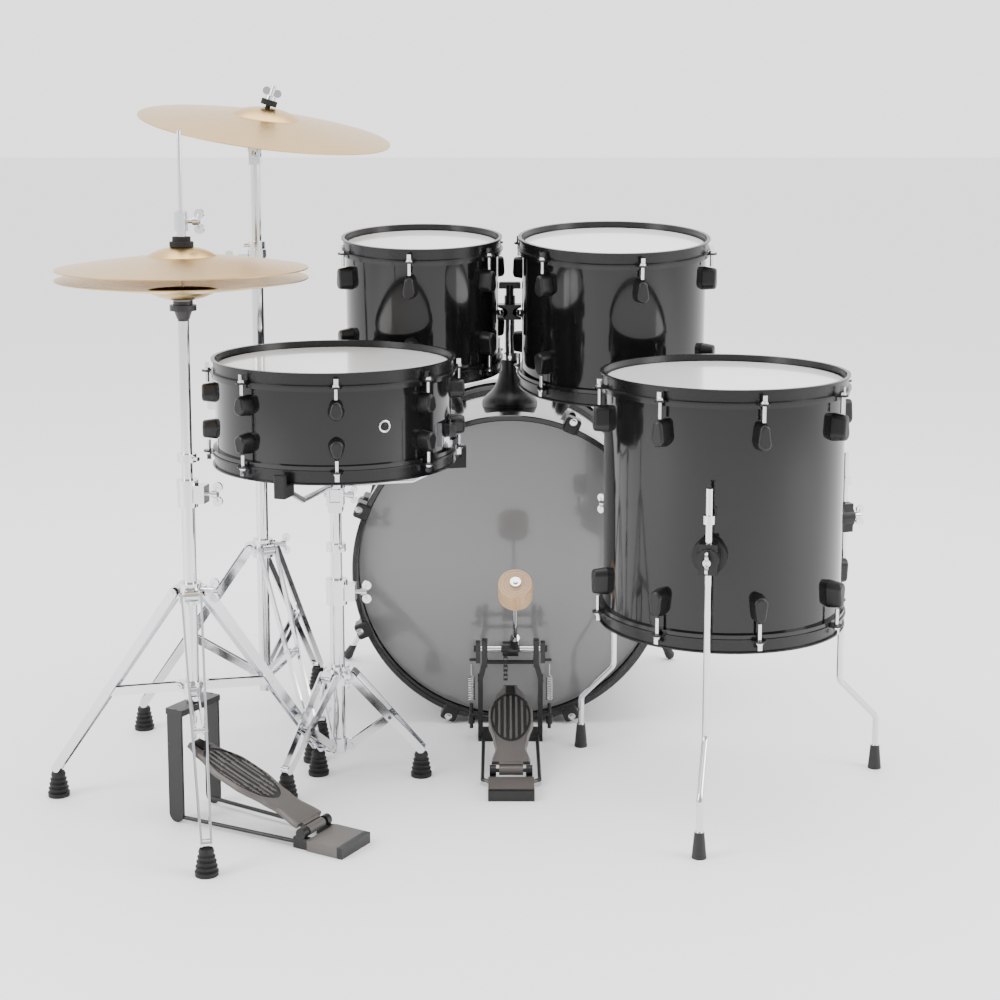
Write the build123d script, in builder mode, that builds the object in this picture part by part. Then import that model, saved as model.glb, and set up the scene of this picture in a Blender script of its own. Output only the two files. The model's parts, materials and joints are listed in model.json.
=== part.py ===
"""Five-drum acoustic kit with hi-hat, crash cymbal and two pedals.

Millimetres, +Z up, X to the player's right, Y away from the player. The origin lies on the
floor under the middle of the whole kit.
"""
import os
from math import atan2, cos, degrees, radians, sin

from build123d import *

os.makedirs("parts", exist_ok=True)

inch = 25.4
gap = 0.15            # clearance between pieces that are bolted together
slide_gap = 0.3       # clearance between pieces that move on each other

# Where things stand, before the layout is centred on the origin
layout_middle = (-6.7, -29)
bass_x, bass_front_y = 52, 80
floor_tom_x, floor_tom_y = 368, -210
snare_x, snare_y = -217, -147
hihat_x, hihat_y = -415, -310
crash_x, crash_y = -360, 80

# Drums: diameter, depth
bass_size = (504, 14 * inch)
left_tom_size = (10 * inch, 8 * inch)
right_tom_size = (12 * inch, 9 * inch)
floor_tom_size = (14 * inch, 14 * inch)
snare_size = (14 * inch, 5.5 * inch)
rim_rise = 11         # steel hoop above the drum's edge
shell_wall = 6.5
film = 0.7            # drum head
collar = 10           # head's collar below the drum's edge
rod_out = 12          # tension rod axis, outside the shell
rod_radius = 2.9

left_tom_rim_z = 818
right_tom_rim_z = 818
floor_tom_rim_z = 645
snare_rim_z = 659

# Bass drum hoops
bass_hoop_outer = 264
bass_hoop_inner = 254.4
bass_hoop_width = 38
bass_recess = 24      # head behind the hoop's edge

# Tom holder
post_radius = 9.5
block_z = 678
holder_y = 272
ball_reach = 22
ball_radius = 9


def at(x, y, z=0):
    """A point of the layout, in the kit's own frame."""
    return Vector(x - layout_middle[0], y - layout_middle[1], z)


def turned(direction_deg, length, z=0):
    """A vector of the given length in plan, turned from +X towards +Y."""
    return Vector(length * cos(radians(direction_deg)), length * sin(radians(direction_deg)), z)


def plan_angle(direction):
    """Angle of a direction in plan, from +X towards +Y."""
    return degrees(atan2(direction.Y, direction.X))


def write_piece(builder, node, place=Plane.XY):
    """Move a finished piece to its place, label it and write its STEP file."""
    piece = builder.part.moved(place.location)
    piece.label = node
    export_step(piece, f"parts/{node}.step")
    return piece


def bar(start, end, radius, mode=Mode.ADD):
    """A straight round bar from point to point."""
    start, end = Vector(*start), Vector(*end)
    with Locations(Plane(origin=start, z_dir=end - start)):
        Cylinder(radius, (end - start).length, align=(Align.CENTER, Align.CENTER, Align.MIN), mode=mode)


def block(size, centre, z_turn=0, mode=Mode.ADD):
    """A box about its centre, turned about the vertical."""
    with Locations(Location(Vector(*centre), (0, 0, z_turn))):
        Box(*size, mode=mode)


def lathe(points):
    """Turn an outline of (radius, height) points about the vertical axis."""
    with BuildSketch(Plane.XZ) as outline:
        Polygon(*points, align=None)
    revolve(outline.sketch, axis=Axis.Z)


def wing_bolt(start, direction, reach, blade=15):
    """A wing screw: shank, boss and two round wings across it."""
    start, direction = Vector(*start), Vector(*direction).normalized()
    tip = start + direction * reach
    bar(start, tip, 3.2)
    bar(start + direction * (reach - 5), tip + direction * 4, 5.5)
    side = direction.cross(Vector(0, 0, 1)).normalized()
    for sign in (1, -1):
        wing = tip + Vector(0, 0, 1) * sign * blade * 0.62 + direction * 4
        bar(wing - side * 2, wing + side * 2, blade * 0.42)
        bar(tip, wing, 2.6)


# ---- drums ---------------------------------------------------------------------------------
def make_lug(radius, near_z, far_z, rod_end=10, tail=12.5):
    """One bullet lug on the +X side, its rod end towards near_z."""
    step = 1 if near_z > far_z else -1
    with BuildPart() as lug:
        with BuildSketch(Plane.YZ.offset(radius - 3)):
            with Locations((0, near_z - step * rod_end)):
                Circle(rod_end)
            with Locations((0, far_z + step * tail)):
                Circle(tail)
            make_hull()
        extrude(amount=rod_out + 12, taper=7)
        fillet(lug.faces().sort_by(Axis.X)[-1].edges(), 4)
        Cylinder(radius + gap, abs(near_z) * 4, mode=Mode.SUBTRACT)
    return lug.part


def make_rod(radius, seat_z, end_z):
    """One tension rod with its square head and washer, on the +X side, head up."""
    with BuildPart() as rod:
        bar((radius + rod_out, 0, end_z), (radius + rod_out, 0, seat_z + 4), rod_radius)
        bar((radius + rod_out, 0, seat_z + gap), (radius + rod_out, 0, seat_z + 1.8), 6)
        bar((radius + rod_out, 0, seat_z + 1.8), (radius + rod_out, 0, seat_z + 3.6), 4.6)
        block((6.4, 6.4, 8), (radius + rod_out, 0, seat_z + 7.6))
    return rod.part


def make_drum(node, size, lug_count, lug_turn, lug_length, place, lug_start=30, casting=None, screws=None):
    """Shell, steel hoops, heads, lugs and tension rods of one drum, about its own axis."""
    diameter, depth = size
    radius, edge = diameter / 2, depth / 2
    first = lug_turn - 90

    with BuildPart() as shell:
        Cylinder(radius, depth)
        Cylinder(radius - shell_wall, depth, mode=Mode.SUBTRACT)
    write_piece(shell, f"{node}_shell", place)

    with BuildPart() as heads:
        lathe([(0, edge + gap), (radius + gap, edge + gap), (radius + gap, edge - collar - 6),
               (radius + 6, edge - collar - 6), (radius + 6, edge - collar), (radius + 0.9, edge - collar),
               (radius + 0.9, edge + film + gap), (0, edge + film + gap)])
        mirror(about=Plane.XY)
    write_piece(heads, f"{node}_heads", place)

    seat = edge - collar + gap
    inner = radius + 1.2
    ear_top = seat + 2.6
    with BuildPart() as hoops:
        lathe([(inner, seat), (radius + 8, seat), (radius + 8, ear_top), (inner + 2.2, ear_top),
               (inner + 2.2, edge + rim_rise - 2.2), (inner + 5.5, edge + rim_rise - 2.2),
               (inner + 5.5, edge + rim_rise), (inner, edge + rim_rise)])
        with PolarLocations(0, lug_count, first):
            with Locations((radius + 8, 0, seat)):
                Box(10, 20, 2.6, align=(Align.CENTER, Align.CENTER, Align.MIN))
            with Locations((radius + rod_out, 0, seat)):
                Cylinder(8.5, 2.6, align=(Align.CENTER, Align.CENTER, Align.MIN))
        with PolarLocations(0, lug_count, first):
            with Locations((radius + rod_out, 0, seat)):
                Cylinder(rod_radius + slide_gap, 8, mode=Mode.SUBTRACT)
        mirror(about=Plane.XY)
    write_piece(hoops, f"{node}_hoops", place)

    near = edge - lug_start
    lug = make_lug(radius, near, near - lug_length)
    with BuildPart() as lugs:
        with PolarLocations(0, lug_count, first):
            add(lug)
        mirror(about=Plane.XY)
        if casting is not None:
            add(casting)
    write_piece(lugs, f"{node}_lugs", place)

    rod = make_rod(radius, ear_top, near + gap)
    with BuildPart() as rods:
        with PolarLocations(0, lug_count, first):
            add(rod)
        mirror(about=Plane.XY)
        if screws is not None:
            add(screws)
    write_piece(rods, f"{node}_rods", place)


def drum_place(x, y, rim_z, depth, lean=0):
    """A drum's own frame, its batter rim at rim_z and its top leaning towards the player."""
    tilt = radians(lean)
    reach = depth / 2 + rim_rise
    axis = Vector(0, -sin(tilt), cos(tilt))
    return Plane(origin=at(x, y, rim_z) - axis * reach, x_dir=(1, 0, 0), z_dir=axis)


# ---- bass drum -------------------------------------------------------------------------------
bass_radius, bass_depth = bass_size[0] / 2, bass_size[1]
bass_edge = bass_depth / 2
bass_middle_y = bass_front_y + bass_recess + film + bass_edge
bass_place = Plane(origin=at(bass_x, bass_middle_y, bass_hoop_outer), x_dir=(1, 0, 0), z_dir=(0, -1, 0))
bass_hoop_front = bass_edge + bass_recess
bass_hoop_back = bass_hoop_front - bass_hoop_width
claw_turn = 22.5
holder_back = holder_y - bass_middle_y

with BuildPart() as bass_shell:
    Cylinder(bass_radius, bass_depth)
    Cylinder(bass_radius - 7.5, bass_depth, mode=Mode.SUBTRACT)
    bar((0, 200, -holder_back), (0, 260, -holder_back), 14, mode=Mode.SUBTRACT)
write_piece(bass_shell, "bass_shell", bass_place)

with BuildPart() as bass_heads:
    lathe([(0, bass_edge + gap), (bass_radius + gap, bass_edge + gap),
           (bass_radius + gap, bass_hoop_back - 6.5),
           (bass_radius + 7, bass_hoop_back - 6.5), (bass_radius + 7, bass_hoop_back - gap),
           (bass_radius + 1, bass_hoop_back - gap), (bass_radius + 1, bass_edge + gap + film),
           (0, bass_edge + gap + film)])
    mirror(about=Plane.XY)
write_piece(bass_heads, "bass_heads", bass_place)

with BuildPart() as bass_hoops:
    lathe([(bass_hoop_inner, bass_hoop_back), (bass_hoop_outer, bass_hoop_back),
           (bass_hoop_outer, bass_hoop_front), (bass_hoop_inner, bass_hoop_front)])
    chamfer(bass_hoops.edges().group_by(Axis.Z)[-1], 1.5)
    mirror(about=Plane.XY)
write_piece(bass_hoops, "bass_hoops", bass_place)

key_out = bass_hoop_outer + 8.5
with BuildPart() as claw:
    with Locations((bass_hoop_outer + 2, 0, bass_hoop_front - 12)):
        Box(26, 27, 32)
    fillet(claw.edges().filter_by(Axis.Z), 5)
    fillet(claw.faces().sort_by(Axis.X)[-1].edges().filter_by(Axis.Y), 4)
    with BuildSketch(Plane.XY.offset(bass_hoop_front - 60)):
        Circle(bass_hoop_outer + gap)
    extrude(amount=60 + gap, mode=Mode.SUBTRACT)
    bar((key_out, 0, bass_hoop_front - 60), (key_out, 0, bass_hoop_front + 20), 3.4, mode=Mode.SUBTRACT)
    bar((key_out, 0, bass_hoop_front - 4), (key_out, 0, bass_hoop_front + 20), 6.6, mode=Mode.SUBTRACT)
with BuildPart() as bass_claws:
    with PolarLocations(0, 8, claw_turn):
        add(claw.part)
    mirror(about=Plane.XY)

bass_lug_near = bass_hoop_back - 26
bass_lug = make_lug(bass_radius, bass_lug_near, bass_lug_near - 52, rod_end=11, tail=13)
with BuildPart() as lug_rows:
    with PolarLocations(0, 8, claw_turn):
        add(bass_lug)
    mirror(about=Plane.XY)
with BuildPart() as rod_pads:
    with PolarLocations(0, 8, claw_turn):
        with Locations((key_out, 0, bass_lug_near - 6)):
            Cylinder(6.5, 16)
    mirror(about=Plane.XY)
with BuildPart() as bass_lugs:
    add(lug_rows.part)
    add(rod_pads.part)
    add(bass_claws.part)
write_piece(bass_lugs, "bass_lugs_and_claws", bass_place)

with BuildPart() as key_rod:
    bar((key_out, 0, bass_lug_near + 2 + gap), (key_out, 0, bass_hoop_front - 3.6), 3)
    bar((key_out, 0, bass_hoop_front - 3.6), (key_out, 0, bass_hoop_front - 1.6), 6.2)
    block((6.4, 6.4, 8), (key_out, 0, bass_hoop_front + 2.4))
with BuildPart() as bass_rods:
    with PolarLocations(0, 8, claw_turn):
        add(key_rod.part)
    mirror(about=Plane.XY)
write_piece(bass_rods, "bass_rods", bass_place)

# ---- tom holder on the bass drum ----------------------------------------------------------------
shell_top = bass_hoop_outer + bass_radius
pedestal_top = shell_top + 78
spur_turn = 30                   # bracket below the level of the bass drum's axis
spur_y = 396
spur_reach = bass_radius + 26
bass_axis_z = bass_hoop_outer


def spur_frame(side):
    """Pivot, outward direction and downward tangent of one spur's bracket."""
    outward = Vector(side * cos(radians(spur_turn)), 0, -sin(radians(spur_turn)))
    down = Vector(-side * sin(radians(spur_turn)), 0, -cos(radians(spur_turn)))
    return at(bass_x, spur_y, bass_axis_z) + outward * spur_reach, outward, down


with BuildPart() as pedestal_parts:
    with BuildSketch(Plane.XZ) as bell:
        with BuildLine():
            base = Line((0, shell_top - 12), (48, shell_top - 12))
            skirt = Line(base @ 1, (48, shell_top + 5))
            flare = Spline(skirt @ 1, (33, shell_top + 22), (20, shell_top + 48), (18, pedestal_top),
                           tangents=((-0.4, 1), (0, 1)))
            Line(flare @ 1, (0, pedestal_top))
            Line((0, pedestal_top), base @ 0)
        make_face()
    revolve(bell.sketch, axis=Axis.Z)
    bar((0, 0, shell_top - 30), (0, 0, pedestal_top + 10), post_radius + slide_gap, mode=Mode.SUBTRACT)
pedestal_spot = at(bass_x, holder_y)
with BuildPart() as drum_form:
    bar(at(bass_x, spur_y - 400, bass_axis_z), at(bass_x, spur_y + 400, bass_axis_z), bass_radius + gap)
with BuildPart() as bass_fittings:
    add(pedestal_parts.part.moved(Location(pedestal_spot)))
    for side in (1, -1):
        pivot, outward, down = spur_frame(side)
        bar(pivot - outward * 30, pivot - outward * 9, 17)
        bar(pivot - outward * 12, pivot - outward * 4.5, 12)
    add(drum_form.part, mode=Mode.SUBTRACT)
write_piece(bass_fittings, "bass_brackets")

for side, name in ((-1, "left"), (1, "right")):
    pivot, outward, down = spur_frame(side)
    heading = (outward * 0.8 + down * 0.5 + Vector(0, 0.33, 0)).normalized()
    tip_height = 8
    length = (pivot.Z - tip_height) / -heading.Z
    tip = pivot + heading * length
    with BuildPart() as spur:
        bar(pivot - outward * 4, pivot + outward * 9, 11)
        bar(pivot, tip + heading * -14, 5)
        with Locations(Plane(origin=tip + heading * -26, z_dir=heading)):
            Cone(6, 9, 26, align=(Align.CENTER, Align.CENTER, Align.MIN))
        with Locations(tip):
            Sphere(8)
    write_piece(spur, f"{name}_spur")

left_lean, right_lean = 5, 5.5
left_place = drum_place(-95, 150, left_tom_rim_z, left_tom_size[1], left_lean)
right_place = drum_place(224, 140, right_tom_rim_z, right_tom_size[1], right_lean)
post_spot = at(bass_x, holder_y)


def arm_line(place):
    """Ball centre beside the post, and the plan direction from it to a tom's axis."""
    level = Vector(place.origin.X, place.origin.Y, 0)
    out = (level - Vector(post_spot.X, post_spot.Y, 0)).normalized()
    return post_spot + out * ball_reach + Vector(0, 0, block_z), out


with BuildPart() as tom_post:
    bar(post_spot + Vector(0, 0, 455), post_spot + Vector(0, 0, block_z + 28), post_radius)
    bar(post_spot + Vector(0, 0, pedestal_top + 0.5), post_spot + Vector(0, 0, pedestal_top + 13), 15)
    bar(post_spot + Vector(0, -12, pedestal_top + 7), post_spot + Vector(0, -24, pedestal_top + 7), 3)
    block((40, 30, 26), post_spot + Vector(0, 0, block_z))
    fillet(tom_post.edges().filter_by(Axis.Z).filter_by_position(Axis.Z, block_z - 5, block_z + 5), 4)
    bar(post_spot + Vector(0, 0, block_z + 26), post_spot + Vector(0, 0, block_z + 46), 7)
    block((38, 9, 12), post_spot + Vector(0, 0, block_z + 46))
    fillet(tom_post.faces().sort_by(Axis.Z)[-1].edges(), 3)
    for place in (left_place, right_place):
        ball, out = arm_line(place)
        bar(ball - out * (ball_radius + 2 * slide_gap), ball + out * 30, ball_radius + 2 * slide_gap,
            mode=Mode.SUBTRACT)
write_piece(tom_post, "tom_post")


def tom_mount(node, place, size):
    """Arm from the ball to the tom, and the bracket on the tom's shell that grips it."""
    radius = size[0] / 2
    ball, out = arm_line(place)
    tom_axis_distance = (Vector(place.origin.X, place.origin.Y, 0) - Vector(ball.X, ball.Y, 0)).length
    end = ball + out * (tom_axis_distance - radius - 4)
    with BuildPart() as arm:
        with Locations(Plane(origin=ball, z_dir=out)):
            Sphere(ball_radius)
        bar(ball, end, 5.5)
    write_piece(arm, f"{node}_arm")
    near, far = place.to_local_coords(ball), place.to_local_coords(end)
    turn = plan_angle(near - far)
    with BuildPart() as bracket:
        for size_x, size_y, size_z, out_x in ((16, 28, 36, 9), (8, 34, 52, 2)):
            with Locations(Location((0, 0, far.Z), (0, 0, turn))):
                with Locations((radius + out_x, 0, 0)):
                    Box(size_x, size_y, size_z)
        bar(far + (far - near).normalized() * 1, near, 5.5 + slide_gap, mode=Mode.SUBTRACT)
        Cylinder(radius + gap, 400, mode=Mode.SUBTRACT)
    return bracket.part


for node, size, place, turn in (("left_tom", left_tom_size, left_place, -6),
                                ("right_tom", right_tom_size, right_place, 12.5)):
    make_drum(node, size, 6, turn, 40, place, casting=tom_mount(node, place, size))

# ---- floor tom ---------------------------------------------------------------------------------
floor_place = drum_place(floor_tom_x, floor_tom_y, floor_tom_rim_z, floor_tom_size[1])
floor_radius = floor_tom_size[0] / 2
leg_turns = (-12, 108, 228)
leg_out = floor_radius + 27
leg_radius = 4.8
bracket_z = 410
leg_top, bend_high, bend_low, foot_height = 510, 150, 84, 38
bend_out = 66

with BuildPart() as floor_brackets:
    for turn in leg_turns:
        out = turned(turn - 90, 1)
        spot = at(floor_tom_x, floor_tom_y, bracket_z)
        bar(spot + out * (floor_radius - 4), spot + out * (floor_radius + 16), 25)
        bar(spot + out * (floor_radius + 12), spot + out * (leg_out + 11), 16)
        block((22, 26, 44), spot + out * (leg_out - 2), z_turn=turn - 90)
        foot = at(floor_tom_x, floor_tom_y) + out * leg_out
        bar(foot + Vector(0, 0, bracket_z - 80), foot + Vector(0, 0, bracket_z + 80),
            leg_radius + slide_gap, mode=Mode.SUBTRACT)
    bar(at(floor_tom_x, floor_tom_y, 200), at(floor_tom_x, floor_tom_y, 700), floor_radius + gap,
        mode=Mode.SUBTRACT)
write_piece(floor_brackets, "floor_tom_brackets")

with BuildPart() as floor_screws:
    for turn in leg_turns:
        out = turned(turn - 90, 1)
        wing_bolt(at(floor_tom_x, floor_tom_y, bracket_z) + out * (leg_out + 11 + gap), out, 12)

for number, turn in enumerate(leg_turns, start=1):
    out = turned(turn - 90, 1)
    middle = at(floor_tom_x, floor_tom_y)
    inner, outer = middle + out * leg_out, middle + out * (leg_out + bend_out)
    corners = [inner + Vector(0, 0, leg_top), inner + Vector(0, 0, bend_high),
               outer + Vector(0, 0, bend_low), outer + Vector(0, 0, foot_height - 8)]
    with BuildPart() as leg:
        with BuildLine() as route:
            FilletPolyline(*corners, radius=16)
        with BuildSketch(Plane(origin=corners[0], z_dir=(0, 0, -1))) as section:
            Circle(leg_radius)
        sweep(section.sketch, path=route.line)
        with Locations(outer):
            Cone(10.5, 7, foot_height, align=(Align.CENTER, Align.CENTER, Align.MIN))
        bar(inner + Vector(0, 0, 460), inner + Vector(0, 0, 472), 8.5)
    write_piece(leg, f"floor_tom_leg_{number}")

make_drum("floor_tom", floor_tom_size, 8, 10, 42, floor_place, lug_start=34,
          screws=floor_screws.part.moved(floor_place.location.inverse()))

# ---- snare drum --------------------------------------------------------------------------------
snare_place = drum_place(snare_x, snare_y, snare_rim_z, snare_size[1])
snare_radius, snare_edge = snare_size[0] / 2, snare_size[1] / 2
strainer_turn, butt_turn = -106, 74
make_drum("snare", snare_size, 8, 6, 32, snare_place, lug_start=26)

lever_pivot = Vector(snare_radius + 22, 0, 14)
with BuildPart() as strainer_half:
    with Locations((snare_radius + 6, 0, 0)):
        Box(14, 30, 84)
    with Locations((snare_radius + 18, 12, 8), (snare_radius + 18, -12, 8)):
        Box(16, 5, 34)
    with Locations((snare_radius + 12, 0, -36)):
        Box(12, 26, 12)
    bar(lever_pivot + Vector(0, -20, 0), lever_pivot + Vector(0, 20, 0), 3.2 + slide_gap, mode=Mode.SUBTRACT)
    Cylinder(snare_radius + gap, 200, mode=Mode.SUBTRACT)
with BuildPart() as butt_half:
    with Locations((snare_radius + 5, 0, -30)):
        Box(12, 34, 36)
    with Locations((snare_radius + 9, 0, -42)):
        Box(12, 26, 10)
    Cylinder(snare_radius + gap, 200, mode=Mode.SUBTRACT)

with BuildPart() as lever_local:
    bar(lever_pivot + Vector(0, -15.5, 0), lever_pivot + Vector(0, 15.5, 0), 3.2)
    with Locations(lever_pivot + Vector(1, 0, 16)):
        Box(6, 16, 34)
    with Locations(lever_pivot + Vector(2, 0, 36)):
        Box(9, 20, 12)
    fillet(lever_local.faces().sort_by(Axis.Z)[-1].edges(), 2)
with BuildPart() as snare_lever:
    with PolarLocations(0, 1, strainer_turn - 90):
        add(lever_local.part)
write_piece(snare_lever, "snare_lever", snare_place)

wire_z = -snare_edge - film - gap - 1.6
with BuildPart() as wires_local:
    for side in (1, -1):
        with Locations((side * 128, 0, wire_z)):
            Box(14, 46, 1.6)
    for number in range(12):
        y = (number - 5.5) * 3.4
        bar((-122, y, wire_z), (122, y, wire_z), 0.6)
with BuildPart() as strainer:
    with PolarLocations(0, 1, strainer_turn - 90):
        add(strainer_half.part)
        add(wires_local.part)
    with PolarLocations(0, 1, butt_turn - 90):
        add(butt_half.part)
write_piece(strainer, "snare_strainer", snare_place)

# ---- stands --------------------------------------------------------------------------------------
foot_top = 38
pin_radius = 3
tube_wall = 1.6


def frame_of(x, y, azimuth):
    """Functions from (out, side, height) to a point, for one leg of a stand at x, y."""
    out, side = turned(azimuth, 1), turned(azimuth + 90, 1)
    return lambda u, w, z: at(x, y, z) + out * u + side * w


def flat_bar(start, end, width, thickness, face):
    """A flat bar with round ends between two points, its broad face towards face."""
    start, end = Vector(*start), Vector(*end)
    along = (end - start).normalized()
    normal = (face - along * face.dot(along)).normalized()
    with BuildSketch(Plane(origin=(start + end) / 2, x_dir=along, z_dir=normal)) as outline:
        SlotCenterToCenter((end - start).length, width)
    extrude(outline.sketch, amount=thickness / 2, both=True)


def tube(x, y, low, high, outer, inner):
    """An upright tube."""
    with BuildSketch(Plane(origin=at(x, y, low), z_dir=(0, 0, 1))) as ring:
        Circle(outer)
        Circle(inner, mode=Mode.SUBTRACT)
    extrude(ring.sketch, amount=high - low)


def collar_ring(x, y, low, high, outer, tube_radius, azimuths, ear_half, ear_out, pin_z, pinned):
    """A casting round the tube with an ear for each leg or brace."""
    with BuildPart() as ring:
        bar(at(x, y, low), at(x, y, high), outer)
        for azimuth in azimuths:
            spot = frame_of(x, y, azimuth)
            block((ear_out, 2 * ear_half, 17), spot(ear_out / 2, 0, pin_z), z_turn=azimuth)
            bar(spot(ear_out, -ear_half, pin_z), spot(ear_out, ear_half, pin_z), 8.5)
            if pinned:
                bar(spot(ear_out, -ear_half - 4, pin_z), spot(ear_out, ear_half + 4, pin_z), pin_radius)
            else:
                bar(spot(ear_out, -30, pin_z), spot(ear_out, 30, pin_z), pin_radius + slide_gap,
                    mode=Mode.SUBTRACT)
        bar(at(x, y, low - 5), at(x, y, high + 5), tube_radius + gap, mode=Mode.SUBTRACT)
    return ring.part


def make_leg(spot, side, ear_out, high_z, foot_out, meet):
    """One leg of paired flat bars with its pivot, brace pin and foot plug."""
    joint_u = ear_out + (foot_out - ear_out) * meet
    joint_z = high_z + (foot_top + 7 - high_z) * meet
    half = 14 + (6.5 - 14) * meet
    with BuildPart() as leg:
        for sign in (1, -1):
            flat_bar(spot(ear_out, sign * 14, high_z), spot(foot_out, sign * 6.5, foot_top + 7), 13, 3, side)
        bar(spot(ear_out, -16.5, high_z), spot(ear_out, 16.5, high_z), pin_radius)
        bar(spot(foot_out, -8, foot_top + 7), spot(foot_out, 8, foot_top + 7), 6)
        bar(spot(joint_u, -half - 2, joint_z), spot(joint_u, half + 2, joint_z), pin_radius)
    return leg.part, joint_u, joint_z


def make_braces(spot, side, start, end):
    """The two flat bars from the lower collar to one leg."""
    with BuildPart() as braces:
        for sign in (1, -1):
            flat_bar(spot(start[0], sign * 5.6, start[1]), spot(end[0], sign * 5.6, end[1]), 12, 2.4, side)
        for u, z in (start, end):
            bar(spot(u, -20, z), spot(u, 20, z), pin_radius + slide_gap, mode=Mode.SUBTRACT)
    return braces.part


def make_clamp(x, y, tube_radius, tube_top, screw_at):
    """Clamp at the top of the lower tube, with its wing screw."""
    out = turned(screw_at, 1)
    middle = at(x, y, tube_top - 8)
    with BuildPart() as clamp:
        bar(at(x, y, tube_top + gap), at(x, y, tube_top + 12), tube_radius + 6)
        bar(at(x, y, tube_top - 28), at(x, y, tube_top + 1), tube_radius + 5)
        block((16, 22, 26), middle + out * (tube_radius + 11), z_turn=screw_at)
        wing_bolt(middle + out * (tube_radius + 16), out, 16, 17)
        bar(at(x, y, tube_top - 60), at(x, y, tube_top + gap), tube_radius + gap, mode=Mode.SUBTRACT)
        bar(at(x, y, tube_top - 1), at(x, y, tube_top + 40), tube_radius - tube_wall, mode=Mode.SUBTRACT)
    return clamp.part


def make_leg_screw(x, y, tube_radius, high_z, screw_at):
    """Wing screw that fixes the leg collar on the tube."""
    out = turned(screw_at, 1)
    with BuildPart() as screw:
        wing_bolt(at(x, y, high_z + 6) + out * (tube_radius + 7 + gap), out, 18, 17)
        bar(at(x, y, 0), at(x, y, 1000), tube_radius + 7 + gap, mode=Mode.SUBTRACT)
    return screw.part


def make_tripod(node, x, y, azimuths, foot_out, high_z, low_z, tube_radius, tube_low, tube_top, screw_at,
                leg_screw_at):
    """Lower tube, two collars, three legs of paired flat bars and their braces."""
    ear_out = tube_radius + 12
    pieces = [collar_ring(x, y, high_z - 15, high_z + 15, tube_radius + 7, tube_radius, azimuths,
                          9.8, ear_out, high_z, False),
              collar_ring(x, y, low_z - 10, low_z + 10, tube_radius + 3.5, tube_radius, azimuths,
                          4, ear_out - 2, low_z, True),
              make_clamp(x, y, tube_radius, tube_top, screw_at),
              make_leg_screw(x, y, tube_radius, high_z, leg_screw_at)]
    for azimuth in azimuths:
        spot, side = frame_of(x, y, azimuth), turned(azimuth + 90, 1)
        leg, joint_u, joint_z = make_leg(spot, side, ear_out, high_z, foot_out, 0.56)
        pieces += [leg, make_braces(spot, side, (ear_out - 2, low_z), (joint_u, joint_z))]
    with BuildPart() as base:
        tube(x, y, tube_low, tube_top, tube_radius, tube_radius - tube_wall)
        for piece in pieces:
            add(piece)
    write_piece(base, node)


def upper_tube_ring(x, y, z, radius, screw_at):
    """Memory lock on a sliding tube, with its little screw."""
    bar(at(x, y, z), at(x, y, z + 12), radius + 6)
    out = turned(screw_at, 1)
    bar(at(x, y, z + 6) + out * radius, at(x, y, z + 6) + out * (radius + 15), 3)


snare_azimuths, snare_foot = (238, 108, -6), 130
hihat_azimuths, hihat_foot = (43, 163, 283), 228
crash_azimuths, crash_foot = (299, 187, 70), 202

with BuildPart() as rubber_foot:
    lathe([(0, 0), (16, 0), (16.5, 6), (13.5, 7), (15.3, 13), (12.3, 14), (14, 20), (11, 21),
           (12.5, 27), (10, 28), (11, 34), (9.5, foot_top - gap), (0, foot_top - gap)])
with BuildPart() as rubber_feet:
    for x, y, azimuths, out_by in ((snare_x, snare_y, snare_azimuths, snare_foot),
                                   (hihat_x, hihat_y, hihat_azimuths, hihat_foot),
                                   (crash_x, crash_y, crash_azimuths, crash_foot)):
        for azimuth in azimuths:
            add(rubber_foot.part.moved(Location(frame_of(x, y, azimuth)(out_by, 0, 0))))
write_piece(rubber_feet, "rubber_feet")

# snare stand: lower tube and tripod, sliding tube, basket
snare_tube, snare_inner_tube = 11, 8.8
make_tripod("snare_stand_base", snare_x, snare_y, snare_azimuths, snare_foot, 160, 48, snare_tube, 34, 300,
            -5,
            -64)
tilter_z = 444
with BuildPart() as snare_stand_tube:
    bar(at(snare_x, snare_y, 120), at(snare_x, snare_y, tilter_z - 16), snare_inner_tube)
    upper_tube_ring(snare_x, snare_y, 356, snare_inner_tube, -60)
    block((22, 26, 16), at(snare_x, snare_y, tilter_z - 18))
    for sign in (1, -1):
        block((5, 26, 26), at(snare_x + sign * 10.5, snare_y, tilter_z - 3))
    bar(at(snare_x - 30, snare_y, tilter_z), at(snare_x + 30, snare_y, tilter_z), 3.5 + slide_gap,
        mode=Mode.SUBTRACT)
write_piece(snare_stand_tube, "snare_stand_tube")

basket_turns = (-18, 102, 222)
hoop_low = snare_rim_z - snare_size[1] - 2 * rim_rise
with BuildPart() as snare_basket:
    hub = at(snare_x, snare_y, tilter_z)
    bar(hub + Vector(-17, 0, 0), hub + Vector(17, 0, 0), 3.5)
    block((15, 20, 18), hub)
    bar(hub, hub + Vector(0, 0, 24), 7)
    bar(hub + Vector(0, 0, 12), hub + Vector(0, 0, 22), 15)
    wing_bolt(hub + Vector(16, 0, 0), Vector(1, 0, 0), 8, 13)
    for turn in basket_turns:
        out = turned(turn - 90, 1)
        seat = hub + out * 168
        low = Vector(hub.X, hub.Y, tilter_z + 17)
        elbow = low + out * 120
        bar(low, elbow, 4.5)
        bar(elbow, Vector(seat.X, seat.Y, hoop_low - 13) + out * 4, 4.5)
        with Locations(elbow):
            Sphere(4.5)
write_piece(snare_basket, "snare_basket")

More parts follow.
